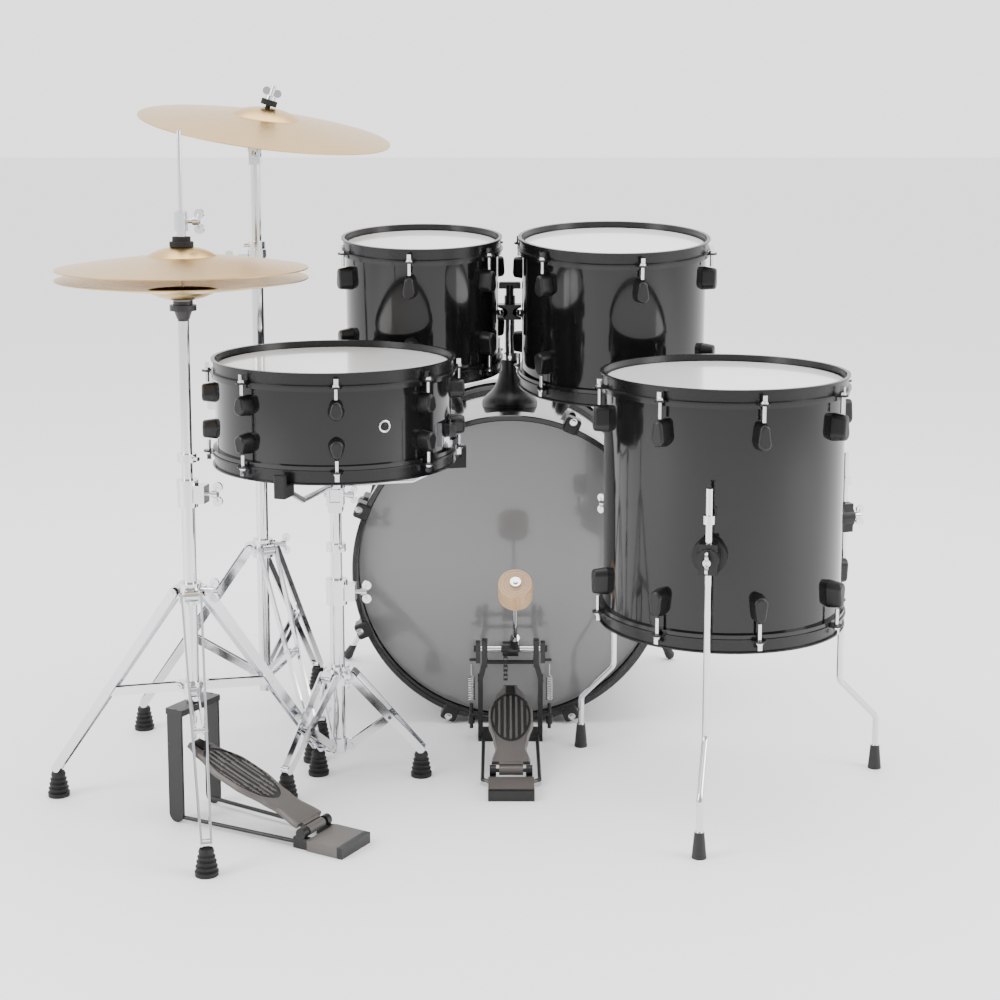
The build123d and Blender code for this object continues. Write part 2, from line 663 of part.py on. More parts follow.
with BuildPart() as basket_tips:
    for turn in basket_turns:
        out = turned(turn - 90, 1)
        seat = at(snare_x, snare_y, hoop_low - 9.5) + out * 186
        block((34, 18, 17), seat, z_turn=turn - 90)
        block((9, 18, 30), seat + out * 12.5 + Vector(0, 0, 10), z_turn=turn - 90)
    fillet(basket_tips.edges().filter_by(Axis.Z), 2.5)
    for turn in basket_turns:
        out = turned(turn - 90, 1)
        seat = at(snare_x, snare_y, hoop_low - 13) + out * 172
        elbow = at(snare_x, snare_y, tilter_z + 17) + out * 120
        bar(elbow, seat + (seat - elbow).normalized() * 1, 4.5 + gap, mode=Mode.SUBTRACT)
write_piece(basket_tips, "snare_basket_tips")

# ---- cymbals -------------------------------------------------------------------------------------
def cymbal_profile(radius, bell_radius, bell_height, bow, hole, thickness=1.3):
    """Turn a cymbal about the vertical, its edge at height 0 and its bell up."""
    top = bow + bell_height
    with BuildSketch(Plane.XZ) as section:
        with BuildLine():
            bell = ThreePointArc((hole, top), (bell_radius * 0.68, bow + bell_height * 0.62),
                                 (bell_radius, bow))
            slope = ThreePointArc(bell @ 1, ((bell_radius + radius) / 2, bow * 0.56), (radius, 0))
            rim = Line(slope @ 1, (radius, thickness))
            back = ThreePointArc(rim @ 1, ((bell_radius + radius) / 2, bow * 0.56 + thickness),
                                 (bell_radius, bow + thickness))
            dome = ThreePointArc(back @ 1, (bell_radius * 0.68, bow + bell_height * 0.62 + thickness),
                                 (hole, top + thickness))
            Line(dome @ 1, bell @ 0)
        make_face()
    revolve(section.sketch, axis=Axis.Z)


# ---- hi-hat --------------------------------------------------------------------------------------
hihat_tube, hihat_inner_tube = 9.8, 7.9
hihat_radius = 7 * inch
top_edge_z, bottom_edge_z = 806, 793
hihat_bow, hihat_bell = 17, 13
bell_top_z = top_edge_z + hihat_bow + hihat_bell + 1.3
bell_low_z = bottom_edge_z - hihat_bow - hihat_bell - 1.3
pull_rod_radius = 3
board_azimuth = -30
board_hinge_out, board_hinge_z = 215, 22
toe_out, toe_z = -2, 104
make_tripod("hihat_base", hihat_x, hihat_y, hihat_azimuths, hihat_foot, 335, 192, hihat_tube, 172, 490, -12,
            -17)

with BuildPart() as hihat_upper:
    bar(at(hihat_x, hihat_y, 280), at(hihat_x, hihat_y, bell_low_z - 22), hihat_inner_tube)
    upper_tube_ring(hihat_x, hihat_y, 528, hihat_inner_tube, -35)
    with Locations(at(hihat_x, hihat_y, bell_low_z - 27)):
        Cone(9, 13, 12, align=(Align.CENTER, Align.CENTER, Align.MIN))
    bar(at(hihat_x, hihat_y, bell_low_z - 15), at(hihat_x, hihat_y, bell_low_z - 7), 19)
    bar(at(hihat_x, hihat_y, bell_low_z - 7), at(hihat_x, hihat_y, bell_low_z - gap), 14)
    bar(at(hihat_x, hihat_y, bell_low_z - 2), at(hihat_x, hihat_y, bell_low_z + 8), 5)
    bar(at(hihat_x, hihat_y, 200), at(hihat_x, hihat_y, 900), pull_rod_radius + slide_gap, mode=Mode.SUBTRACT)
write_piece(hihat_upper, "hihat_upper_tube")

with BuildPart() as bottom_cymbal:
    cymbal_profile(hihat_radius, 50, hihat_bell, hihat_bow, 5.6)
bottom_flip = Plane(origin=at(hihat_x, hihat_y, bottom_edge_z), x_dir=(1, 0, 0), z_dir=(0, 0, -1))
write_piece(bottom_cymbal, "hihat_bottom_cymbal", bottom_flip)

with BuildPart() as top_cymbal:
    cymbal_profile(hihat_radius, 50, hihat_bell, hihat_bow, 7)
write_piece(top_cymbal, "hihat_top_cymbal", Plane(origin=at(hihat_x, hihat_y, top_edge_z)))

rod_low, rod_high = 138, 1000
with BuildPart() as pull_rod:
    bar(at(hihat_x, hihat_y, rod_low), at(hihat_x, hihat_y, rod_high), pull_rod_radius)
    bar(at(hihat_x, hihat_y, rod_low), at(hihat_x, hihat_y, rod_low + 10), 5)
    block((4, 8, rod_low - toe_z - 9), at(hihat_x, hihat_y, (rod_low + toe_z + 9) / 2), z_turn=board_azimuth)
write_piece(pull_rod, "hihat_pull_rod")

clutch_turn = turned(-10, 1)
with BuildPart() as clutch:
    centre = at(hihat_x, hihat_y)
    up = Vector(0, 0, 1)
    bar(centre + up * (bell_top_z - 14), centre + up * (bell_top_z + 52), 6.3)
    bar(centre + up * (bell_top_z - 14), centre + up * (bell_top_z - 7), 9.5)
    bar(centre + up * (bell_top_z - 7), centre + up * (bell_top_z - 2.6), 12)
    bar(centre + up * (bell_top_z + gap), centre + up * (bell_top_z + 7), 17)
    bar(centre + up * (bell_top_z + 7), centre + up * (bell_top_z + 14), 13)
    bar(centre + up * (bell_top_z + 22), centre + up * (bell_top_z + 50), 9.5)
    wing_bolt(centre + up * (bell_top_z + 36) + clutch_turn * 8, clutch_turn, 15, 17)
    bar(centre, centre + up * 1100, pull_rod_radius + slide_gap, mode=Mode.SUBTRACT)
write_piece(clutch, "hihat_clutch")



def footboard(hinge, toe, narrow):
    """A pedal board from its hinge knuckle to its toe, ribbed and waisted."""
    hinge, toe = Vector(*hinge), Vector(*toe)
    run = toe - hinge
    length = run.length
    side = run.cross(Vector(0, 0, 1)).normalized()
    plane = Plane(origin=hinge, x_dir=run, z_dir=side.cross(run.normalized()))
    with BuildPart() as board:
        with BuildSketch(plane.offset(1)) as outline:
            with BuildLine():
                Polyline((11, 30), (48, 34), (length * 0.62, 36), (length * 0.86, 27), (length, narrow),
                         (length, -narrow), (length * 0.86, -27), (length * 0.62, -36), (48, -34), (11, -30),
                         close=True)
            make_face()
        extrude(outline.sketch, amount=7)
        bar(hinge - side * 19, hinge + side * 19, 7.5)
        bar(hinge - side * 30, hinge + side * 30, pin_radius + slide_gap, mode=Mode.SUBTRACT)
        with BuildSketch(plane.offset(-2)) as neck:
            with Locations((11, 0)):
                Rectangle(12, 38)
        extrude(neck.sketch, amount=9)
        bar(hinge - side * 30, hinge + side * 30, pin_radius + slide_gap, mode=Mode.SUBTRACT)
    return board


def heel_plate(hinge, out, side, length=60):
    """Floor plate behind a pedal board, with the ears and pin of its hinge."""
    hinge = Vector(*hinge)
    turn = plan_angle(out)
    floor = Vector(hinge.X, hinge.Y, 0)
    block((length, 70, 16), floor + out * (length / 2 + 12) + Vector(0, 0, 8), z_turn=turn)
    for sign in (1, -1):
        block((34, 10, 16), floor + out * 4 + side * sign * 28 + Vector(0, 0, 8), z_turn=turn)
        bar(hinge + side * sign * 23, hinge + side * sign * 33, 8)
    bar(hinge - side * 30, hinge + side * 30, pin_radius)


hat_spot = frame_of(hihat_x, hihat_y, board_azimuth)
hat_out, hat_side = turned(board_azimuth, 1), turned(board_azimuth + 90, 1)
hat_hinge = hat_spot(board_hinge_out, 0, board_hinge_z)
write_piece(footboard(hat_hinge, hat_spot(toe_out, 0, toe_z), 14), "hihat_footboard")

with BuildPart() as hat_frame:
    block((30, 88, 9), hat_spot(0, 0, 166), z_turn=board_azimuth)
    for sign in (1, -1):
        flat_bar(hat_spot(0, sign * 42, 158), hat_spot(0, sign * 42, 13), 26, 4, hat_side)
        bar(hat_spot(0, sign * 40.5, 8), hat_spot(board_hinge_out - 8, sign * 29, 8), 3)
    heel_plate(hat_hinge, hat_out, hat_side)
    bar(at(hihat_x, hihat_y, 100), at(hihat_x, hihat_y, 300), 5 + slide_gap, mode=Mode.SUBTRACT)
write_piece(hat_frame, "hihat_pedal_frame")

# ---- crash ---------------------------------------------------------------------------------------
crash_tube, crash_inner_tube = 9.8, 7.9
pivot_z = 964
crash_radius = 8 * inch
crash_bow, crash_bell = 20, 13
post_lean, post_length = 18, 106
hole_up = 67
cymbal_lean, cymbal_dip = 8.3, 7
make_tripod("crash_base", crash_x, crash_y, crash_azimuths, crash_foot, 305, 95, crash_tube, 60, 790, 175,
            4)

with BuildPart() as crash_upper:
    bar(at(crash_x, crash_y, 560), at(crash_x, crash_y, pivot_z - 14), crash_inner_tube)
    upper_tube_ring(crash_x, crash_y, 803, crash_inner_tube, -150)
    block((18, 26, 12), at(crash_x, crash_y, pivot_z - 19))
    for sign in (1, -1):
        block((18, 6, 28), at(crash_x, crash_y + sign * 10, pivot_z - 6))
        bar(at(crash_x, crash_y + sign * 7, pivot_z), at(crash_x, crash_y + sign * 13, pivot_z), 9)
    bar(at(crash_x, crash_y - 30, pivot_z), at(crash_x, crash_y + 30, pivot_z), 3.5 + slide_gap,
        mode=Mode.SUBTRACT)
write_piece(crash_upper, "crash_upper_tube")

crash_pivot = at(crash_x, crash_y, pivot_z)
post_axis = Vector(sin(radians(post_lean)), 0, cos(radians(post_lean)))
cymbal_axis = Vector(sin(radians(cymbal_lean)), -sin(radians(cymbal_dip)), 1).normalized()
crash_hole = crash_pivot + post_axis * hole_up
with BuildPart() as tilter:
    bar(crash_pivot - Vector(0, 6.5, 0), crash_pivot + Vector(0, 6.5, 0), 11)
    bar(crash_pivot - Vector(0, 17, 0), crash_pivot + Vector(0, 17, 0), 3.5)
    wing_bolt(crash_pivot - Vector(0, 15, 0), Vector(0, -1, 0), 8, 13)
    bar(crash_pivot, crash_pivot + post_axis * post_length, 4)
    bar(crash_pivot, crash_pivot + post_axis * (hole_up - 22), 6.2)
    for low, high, radius in ((-22, -18, 15), (-18, -8, 12), (6, 15, 13), (15.5, 22, 9)):
        bar(crash_hole + post_axis * low, crash_hole + post_axis * high, radius)
    for sign in (1, -1):
        level = Vector(cos(radians(post_lean)), 0, -sin(radians(post_lean)))
        wing = crash_hole + post_axis * 28 + level * sign * 9
        bar(wing - Vector(0, 2, 0), wing + Vector(0, 2, 0), 6.5)
write_piece(tilter, "crash_tilter")

with BuildPart() as crash_cymbal:
    cymbal_profile(crash_radius, 55, crash_bell, crash_bow, 7.5)
crash_under = crash_hole - cymbal_axis * (crash_bow + crash_bell)
crash_plane = Plane(origin=crash_under, x_dir=(1, 0, 0), z_dir=cymbal_axis)
write_piece(crash_cymbal, "crash_cymbal", crash_plane)

# ---- bass drum pedal -------------------------------------------------------------------------------
axle_z = 155
pedal_hinge_y, pedal_hinge_z = -197, 22
pedal_toe_y, pedal_toe_z = -14, 94
beater_lean, beater_up = 42, 176
axle_radius = 5.5


def pedal(x, y, z):
    """A point of the bass pedal, from the middle of its axle's foot."""
    return at(bass_x + x, y, z)


hinge_point = pedal(0, pedal_hinge_y, pedal_hinge_z)
write_piece(footboard(hinge_point, pedal(0, pedal_toe_y, pedal_toe_z), 12), "pedal_footboard")

with BuildPart() as pedal_frame:
    block((106, 56, 6), pedal(0, 20, 3))
    block((26, 58, 8), pedal(0, 66, 17))
    block((26, 12, 18), pedal(0, 42, 12))
    for sign in (1, -1):
        flat_bar(pedal(sign * 49, 2, 7), pedal(sign * 49, 2, 105), 14, 8, Vector(1, 0, 0))
        flat_bar(pedal(sign * 49, 2, 105), pedal(sign * 42, 2, 132), 14, 8, Vector(1, 0, 0))
        block((9, 18, 44), pedal(sign * 42, 0, 148))
        bar(pedal(sign * 42, 2, 132), pedal(0, 2, 132), 3.2)
        bar(pedal(sign * 44, 2, 9), pedal(sign * 44, pedal_hinge_y - 6, 9), 3)
        bar(pedal(sign * 44, pedal_hinge_y - 6, 9), pedal(sign * 28, pedal_hinge_y - 16, 9), 3)
        block((16, 8, 6), pedal(sign * 58, 2, 44))
        bar(pedal(sign * 64, 2, 20), pedal(sign * 64, 2, 62), 3)
        bar(pedal(sign * 64, 2, 28), pedal(sign * 64, 2, 41), 5.5)
    heel_plate(hinge_point, Vector(0, -1, 0), Vector(1, 0, 0))
    bar(pedal(-70, 0, axle_z), pedal(70, 0, axle_z), axle_radius + 0.05, mode=Mode.SUBTRACT)
write_piece(pedal_frame, "pedal_frame")

shaft_axis = Vector(0, -sin(radians(beater_lean)), cos(radians(beater_lean)))
shaft_foot = pedal(7, 0, axle_z)
with BuildPart() as pedal_axle:
    bar(pedal(-60, 0, axle_z), pedal(60, 0, axle_z), axle_radius)
    bar(pedal(-13, 0, axle_z), pedal(13, 0, axle_z), 12)
    bar(shaft_foot, shaft_foot + shaft_axis * 34, 7.5)
    bar(shaft_foot, shaft_foot + shaft_axis * (beater_up + 27), 3.9)
    bar(shaft_foot + shaft_axis * (beater_up + 19.4), shaft_foot + shaft_axis * (beater_up + 24), 8.5)
    for sign in (1, -1):
        block((7, 16, 34), pedal(sign * 53, -1, axle_z - 5))
        bar(pedal(sign * 53, -2, axle_z - 18), pedal(sign * 67, -2, axle_z - 18), 2.4)
write_piece(pedal_axle, "pedal_axle")

with BuildPart() as beater:
    bar(shaft_foot + shaft_axis * (beater_up - 19), shaft_foot + shaft_axis * (beater_up + 19), 27)
    fillet(beater.edges(), 2.5)
    bar(shaft_foot, shaft_foot + shaft_axis * 300, 3.9 + gap, mode=Mode.SUBTRACT)
write_piece(beater, "pedal_beater")

with BuildPart() as pedal_springs:
    for sign in (1, -1):
        bar(pedal(sign * 64, 2, 66), pedal(sign * 64, 2, 108), 6)
        bar(pedal(sign * 64, 2, 106), pedal(sign * 64, 0, 132), 1.5)
        bar(pedal(sign * 64, 2, 60), pedal(sign * 64, 2, 110), 3.6, mode=Mode.SUBTRACT)
        bar(pedal(sign * 64, 2, 104), pedal(sign * 64, 2, 107.5), 4)
write_piece(pedal_springs, "pedal_springs")

with BuildPart() as pedal_chain:
    block((7, 4, axle_z - pedal_toe_z - 16), pedal(-8, -14.5, (axle_z + pedal_toe_z + 12) / 2))
write_piece(pedal_chain, "pedal_chain")
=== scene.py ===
import json
import math

import bmesh
import bpy
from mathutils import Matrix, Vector


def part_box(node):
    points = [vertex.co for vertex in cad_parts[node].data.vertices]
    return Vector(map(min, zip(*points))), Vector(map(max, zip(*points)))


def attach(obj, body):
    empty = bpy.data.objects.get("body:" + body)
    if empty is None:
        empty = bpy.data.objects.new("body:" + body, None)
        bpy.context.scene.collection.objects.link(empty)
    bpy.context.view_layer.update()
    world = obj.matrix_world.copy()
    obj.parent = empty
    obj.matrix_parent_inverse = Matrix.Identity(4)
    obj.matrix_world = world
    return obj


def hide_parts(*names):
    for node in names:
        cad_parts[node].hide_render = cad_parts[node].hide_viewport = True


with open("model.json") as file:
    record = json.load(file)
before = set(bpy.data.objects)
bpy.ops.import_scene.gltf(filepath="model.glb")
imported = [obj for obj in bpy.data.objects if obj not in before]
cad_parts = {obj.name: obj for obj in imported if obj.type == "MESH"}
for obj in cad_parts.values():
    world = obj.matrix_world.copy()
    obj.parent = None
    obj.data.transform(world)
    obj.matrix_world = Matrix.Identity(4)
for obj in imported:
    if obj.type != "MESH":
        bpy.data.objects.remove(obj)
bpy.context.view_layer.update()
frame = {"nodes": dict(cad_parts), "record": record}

record = frame["record"]
jointPlace = {j["name"]: Vector(j["pos_m"]) for j in record["behaviour"]["joints"] if "pos_m" in j}
bodyOf = {node: body for body, nodes in record["behaviour"]["bodies"].items() for node in nodes}
slotOf = {s["node"]: s["material_slot"] for s in record["subparts"]}


def middle(node):
    low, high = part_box(node)
    return (low + high) / 2


# Finishes
def nodeOf(tree, kind, **inputs):
    made = tree.nodes.new(kind)
    for name, value in inputs.items():
        made.inputs[name].default_value = value
    return made


def fresh(name):
    mat = bpy.data.materials.new(name)
    mat.use_nodes = True
    tree = mat.node_tree
    return mat, tree, tree.nodes["Principled BSDF"]


def localPoint(tree, centre=(0, 0, 0), axis=(0, 0, 1)):
    # Object coordinates moved to a centre and turned so that axis is up.
    coord = tree.nodes.new("ShaderNodeTexCoord")
    mapping = tree.nodes.new("ShaderNodeMapping")
    mapping.vector_type = "TEXTURE"
    mapping.inputs["Location"].default_value = centre
    mapping.inputs["Rotation"].default_value = Vector((0, 0, 1)).rotation_difference(Vector(axis)).to_euler()
    tree.links.new(coord.outputs["Object"], mapping.inputs["Vector"])
    return mapping.outputs["Vector"]


def math2(tree, kind, a, b=0.0, clamp=False):
    made = tree.nodes.new("ShaderNodeMath")
    made.operation = kind
    made.use_clamp = clamp
    for socket, value in ((made.inputs[0], a), (made.inputs[1], b)):
        if isinstance(value, (int, float)):
            socket.default_value = value
        else:
            tree.links.new(value, socket)
    return made.outputs[0]


def mixColour(tree, factor, first, second):
    made = tree.nodes.new("ShaderNodeMix")
    made.data_type = "RGBA"
    for socket, value in ((made.inputs[0], factor), (made.inputs[6], first), (made.inputs[7], second)):
        if isinstance(value, bpy.types.NodeSocket):
            tree.links.new(value, socket)
        elif isinstance(value, (int, float)):
            socket.default_value = value
        else:
            socket.default_value = (*value, 1)
    return made.outputs[2]


def noise(tree, vector, scale, detail=3, rough=0.5):
    made = nodeOf(tree, "ShaderNodeTexNoise", Scale=scale, Detail=detail, Roughness=rough)
    tree.links.new(vector, made.inputs["Vector"])
    return made.outputs["Fac"]


def bump(tree, shader, height, strength, distance):
    made = nodeOf(tree, "ShaderNodeBump", Strength=strength, Distance=distance)
    tree.links.new(height, made.inputs["Height"])
    tree.links.new(made.outputs["Normal"], shader.inputs["Normal"])


def surface(name, look):
    # Base finish: a colour with faint mottling, uneven roughness and a fine bump.
    mat, tree, shader = fresh(name)
    at = localPoint(tree)
    blotch = noise(tree, at, look.get("blotchScale", 9), 4)
    colour = look["colour"]
    dark = [c * look.get("shade", 0.82) for c in colour]
    tree.links.new(mixColour(tree, blotch, dark, colour), shader.inputs["Base Color"])
    fine = noise(tree, at, look.get("fineScale", 260), 3)
    rough = math2(tree, "MULTIPLY_ADD", fine, look.get("spread", 0.08))
    rough.node.inputs[2].default_value = look["roughness"] - look.get("spread", 0.08) / 2
    tree.links.new(rough, shader.inputs["Roughness"])
    shader.inputs["Metallic"].default_value = look.get("metal", 0)
    shader.inputs["Coat Weight"].default_value = look.get("coat", 0)
    shader.inputs["Coat Roughness"].default_value = look.get("coatRoughness", 0.03)
    shader.inputs["Specular IOR Level"].default_value = look.get("specular", 0.5)
    bump(tree, shader, fine, look.get("bump", 0.04), 0.001)
    return mat, tree, shader


def zoned(name, look, zones, centre=(0, 0, 0), axis=(0, 0, 1)):
    # A finish that changes to another between heights along an axis: (low, high, second look).
    mat, tree, shader = surface(name, look)
    local = localPoint(tree, centre, axis)
    split = tree.nodes.new("ShaderNodeSeparateXYZ")
    tree.links.new(local, split.inputs[0])
    colour = shader.inputs["Base Color"].links[0].from_socket
    rough = shader.inputs["Roughness"].links[0].from_socket
    metal = look.get("metal", 0)
    for low, high, other in zones:
        inside = math2(tree, "MULTIPLY", math2(tree, "GREATER_THAN", split.outputs["Z"], low),
                       math2(tree, "LESS_THAN", split.outputs["Z"], high))
        colour = mixColour(tree, inside, colour, other["colour"])
        lift = math2(tree, "MULTIPLY", inside, other["roughness"] - look["roughness"])
        rough = math2(tree, "ADD", rough, lift)
        change = math2(tree, "MULTIPLY", inside, other.get("metal", 0) - look.get("metal", 0))
        metal = math2(tree, "ADD", metal, change)
    tree.links.new(colour, shader.inputs["Base Color"])
    tree.links.new(rough, shader.inputs["Roughness"])
    if zones:
        tree.links.new(metal, shader.inputs["Metallic"])
    return mat


looks = {
    "lacquer": {"colour": (0.007, 0.007, 0.0075), "roughness": 0.1, "spread": 0.03, "coat": 0.25,
                "specular": 0.3, "bump": 0.015, "fineScale": 60, "shade": 0.75},
    "hoopBlack": {"colour": (0.006, 0.006, 0.0065), "roughness": 0.26, "spread": 0.08, "bump": 0.05,
                  "specular": 0.4},
    "bassHoop": {"colour": (0.006, 0.006, 0.0065), "roughness": 0.2, "coat": 0.3, "bump": 0.03,
                 "specular": 0.4},
    "casting": {"colour": (0.008, 0.008, 0.0085), "roughness": 0.36, "spread": 0.12, "bump": 0.12,
                "fineScale": 420, "specular": 0.4},
    "chrome": {"colour": (0.74, 0.75, 0.77), "roughness": 0.09, "spread": 0.06, "metal": 1, "shade": 0.9,
               "bump": 0.02, "fineScale": 160},
    "film": {"colour": (0.93, 0.935, 0.94), "roughness": 0.16, "spread": 0.1, "coat": 0.6, "shade": 0.93,
             "blotchScale": 3, "bump": 0.05, "fineScale": 900},
    "bassFilm": {"colour": (0.2, 0.2, 0.202), "roughness": 0.13, "spread": 0.05, "coat": 0.6,
                 "shade": 0.88, "blotchScale": 2.5, "bump": 0.03, "fineScale": 700},
    "rubber": {"colour": (0.012, 0.012, 0.012), "roughness": 0.6, "spread": 0.2, "bump": 0.3,
               "fineScale": 500, "specular": 0.35},
    "taupe": {"colour": (0.115, 0.104, 0.097), "roughness": 0.4, "spread": 0.1, "bump": 0.12, "metal": 0.25,
              "fineScale": 600},
    "blackSteel": {"colour": (0.012, 0.012, 0.012), "roughness": 0.33, "bump": 0.06, "metal": 0.2},
    "steel": {"colour": (0.62, 0.62, 0.63), "roughness": 0.22, "metal": 1, "bump": 0.04},
    "felt": {"colour": (0.015, 0.015, 0.015), "roughness": 0.95, "spread": 0.05, "bump": 0.6,
             "fineScale": 1400, "specular": 0.1},
}


def cymbalFinish(name, centre, axis, radius):
    # Pale gold alloy with lathe rings and a faint rainbow of uneven tone.
    mat, tree, shader = fresh(name)
    local = localPoint(tree, centre, axis)
    flat = tree.nodes.new("ShaderNodeVectorMath")
    flat.operation = "MULTIPLY"
    flat.inputs[1].default_value = (1, 1, 0)
    tree.links.new(local, flat.inputs[0])
    length = tree.nodes.new("ShaderNodeVectorMath")
    length.operation = "LENGTH"
    tree.links.new(flat.outputs[0], length.inputs[0])
    reach = length.outputs["Value"]
    rings = tree.nodes.new("ShaderNodeTexNoise")
    rings.noise_dimensions = "1D"
    rings.inputs["Scale"].default_value = 900
    rings.inputs["Detail"].default_value = 4
    tree.links.new(reach, rings.inputs["W"])
    broad = tree.nodes.new("ShaderNodeTexNoise")
    broad.noise_dimensions = "1D"
    broad.inputs["Scale"].default_value = 60
    tree.links.new(reach, broad.inputs["W"])
    blotch = noise(tree, local, 14, 4)
    tone = mixColour(tree, rings.outputs["Fac"], (0.36, 0.21, 0.07), (0.72, 0.46, 0.16))
    tone = mixColour(tree, math2(tree, "MULTIPLY", broad.outputs["Fac"], 0.5), tone, (0.62, 0.42, 0.18))
    tone = mixColour(tree, math2(tree, "MULTIPLY", blotch, 0.25), tone, (0.72, 0.54, 0.28))
    tree.links.new(tone, shader.inputs["Base Color"])
    rough = math2(tree, "MULTIPLY_ADD", rings.outputs["Fac"], 0.16)
    rough.node.inputs[2].default_value = 0.2
    tree.links.new(rough, shader.inputs["Roughness"])
    shader.inputs["Metallic"].default_value = 1
    bump(tree, shader, rings.outputs["Fac"], 0.35, 0.0004)
    return mat


def woodFinish(name, centre, axis):
    # Sealed light wood, its grain running along the beater's axis.
    mat, tree, shader = fresh(name)
    local = localPoint(tree, centre, axis)
    squeeze = tree.nodes.new("ShaderNodeVectorMath")
    squeeze.operation = "MULTIPLY"
    squeeze.inputs[1].default_value = (1, 1, 0.12)
    tree.links.new(local, squeeze.inputs[0])
    rings = nodeOf(tree, "ShaderNodeTexWave", Scale=70, Distortion=5, Detail=3)
    rings.wave_type = "RINGS"
    rings.rings_direction = "Z"
    tree.links.new(squeeze.outputs[0], rings.inputs["Vector"])
    fibre = noise(tree, squeeze.outputs[0], 700, 3)
    tone = mixColour(tree, rings.outputs["Fac"], (0.55, 0.33, 0.17), (0.72, 0.49, 0.3))
    tone = mixColour(tree, math2(tree, "MULTIPLY", fibre, 0.35), tone, (0.45, 0.26, 0.13))
    tree.links.new(tone, shader.inputs["Base Color"])
    shader.inputs["Roughness"].default_value = 0.45
    shader.inputs["Coat Weight"].default_value = 0.15
    bump(tree, shader, fibre, 0.2, 0.0006)
    return mat


plain = {name: surface(name, look)[0] for name, look in looks.items()}
print("finishes made")


def paint(node, mat):
    # Give a CAD node its finish.
    obj = frame["nodes"][node]
    obj.data.materials.clear()
    obj.data.materials.append(mat)
    return obj


slotLook = {"drum_shell": "lacquer", "black_hoop": "hoopBlack", "bass_hoop": "bassHoop",
            "black_casting": "casting",
            "chrome": "chrome", "batter_film": "film", "bass_film": "bassFilm", "rubber": "rubber",
            "footboard_metal": "taupe", "pedal_black": "blackSteel", "spring_steel": "steel"}
for node, slot in slotOf.items():
    if slot in slotLook:
        paint(node, plain[slotLook[slot]])

chromeLook, rubberLook, castLook, feltLook = looks["chrome"], looks["rubber"], looks["casting"], looks["felt"]
hoopLook, taupeLook, steelLook = looks["hoopBlack"], looks["taupe"], looks["blackSteel"]


def rimmed(name, look, other, centre, axis, reach):
    # A finish that changes to another beyond a distance from an axis.
    mat, tree, shader = surface(name, look)
    flat = tree.nodes.new("ShaderNodeVectorMath")
    flat.operation = "MULTIPLY"
    flat.inputs[1].default_value = (1, 1, 0)
    tree.links.new(localPoint(tree, centre, axis), flat.inputs[0])
    length = tree.nodes.new("ShaderNodeVectorMath")
    length.operation = "LENGTH"
    tree.links.new(flat.outputs[0], length.inputs[0])
    outside = math2(tree, "GREATER_THAN", length.outputs["Value"], reach)
    colour = mixColour(tree, outside, shader.inputs["Base Color"].links[0].from_socket, other["colour"])
    tree.links.new(colour, shader.inputs["Base Color"])
    tree.links.new(math2(tree, "MULTIPLY", math2(tree, "SUBTRACT", 1.0, outside), look.get("coat", 0)),
                   shader.inputs["Coat Weight"])
    return mat


headWork = {"left_tom": ((0, -0.0872, 0.9962), 0.1235), "right_tom": ((0, -0.0958, 0.9954), 0.149),
            "floor_tom": ((0, 0, 1), 0.1743), "snare": ((0, 0, 1), 0.1743)}
for drum, (axis, reach) in headWork.items():
    paint(f"{drum}_heads",
          rimmed(f"{drum}Film", looks["film"], hoopLook, middle(f"{drum}_shell"), axis, reach))

hatTurn = math.radians(-30)
heelSpan = (0.0115, 0.063)
heelWork = {"pedal_frame": ("bass_pedal", Vector((0, -1, 0))),
            "hihat_pedal_frame": ("hihat_pedal", Vector((math.cos(hatTurn), math.sin(hatTurn), 0)))}
for node, (joint, out) in heelWork.items():
    paint(node, zoned(node + "Black", steelLook, [(*heelSpan, taupeLook)], jointPlace[joint], out))
footTop = 0.038
for number in (1, 2, 3):
    paint(f"floor_tom_leg_{number}", zoned(f"legChrome{number}", chromeLook, [(-1, footTop, rubberLook)]))
for side in ("left", "right"):
    paint(f"{side}_spur", zoned(f"{side}SpurChrome", chromeLook, [(-1, 0.03, rubberLook)]))

cymbals = {"hihat_top_cymbal": (0, 0, 1), "hihat_bottom_cymbal": (0, 0, -1)}
for node, axis in cymbals.items():
    paint(node, cymbalFinish(node + "Gold", middle(node), axis, 0.178))
crashAxis = Vector((math.sin(math.radians(8.3)), -math.sin(math.radians(7)), 1)).normalized()
paint("crash_cymbal", cymbalFinish("crashGold", jointPlace["crash_swing"], crashAxis, 0.203))

beaterAxis = Vector((0, -math.sin(math.radians(42)), math.cos(math.radians(42))))
paint("pedal_beater", woodFinish("beaterWood", middle("pedal_beater"), beaterAxis))

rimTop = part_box("hihat_top_cymbal")[1].z
paint("hihat_clutch", zoned("clutchChrome", chromeLook, [(rimTop - 0.0075, rimTop + 0.0145, feltLook)]))
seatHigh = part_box("hihat_upper_tube")[1].z
paint("hihat_upper_tube",
      zoned("hihatTubeChrome", chromeLook, [(seatHigh - 0.038, seatHigh - 0.0085, castLook)]))
postAxis = Vector((math.sin(math.radians(18)), 0, math.cos(math.radians(18))))
paint("crash_tilter", zoned("tilterChrome", chromeLook, [(-0.023, 0.0152, feltLook)],
                            jointPlace["crash_swing"], postAxis))
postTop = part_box("tom_post")[1].z
paint("tom_post", zoned("postChrome", chromeLook, [(postTop - 0.066, 1, castLook)]))


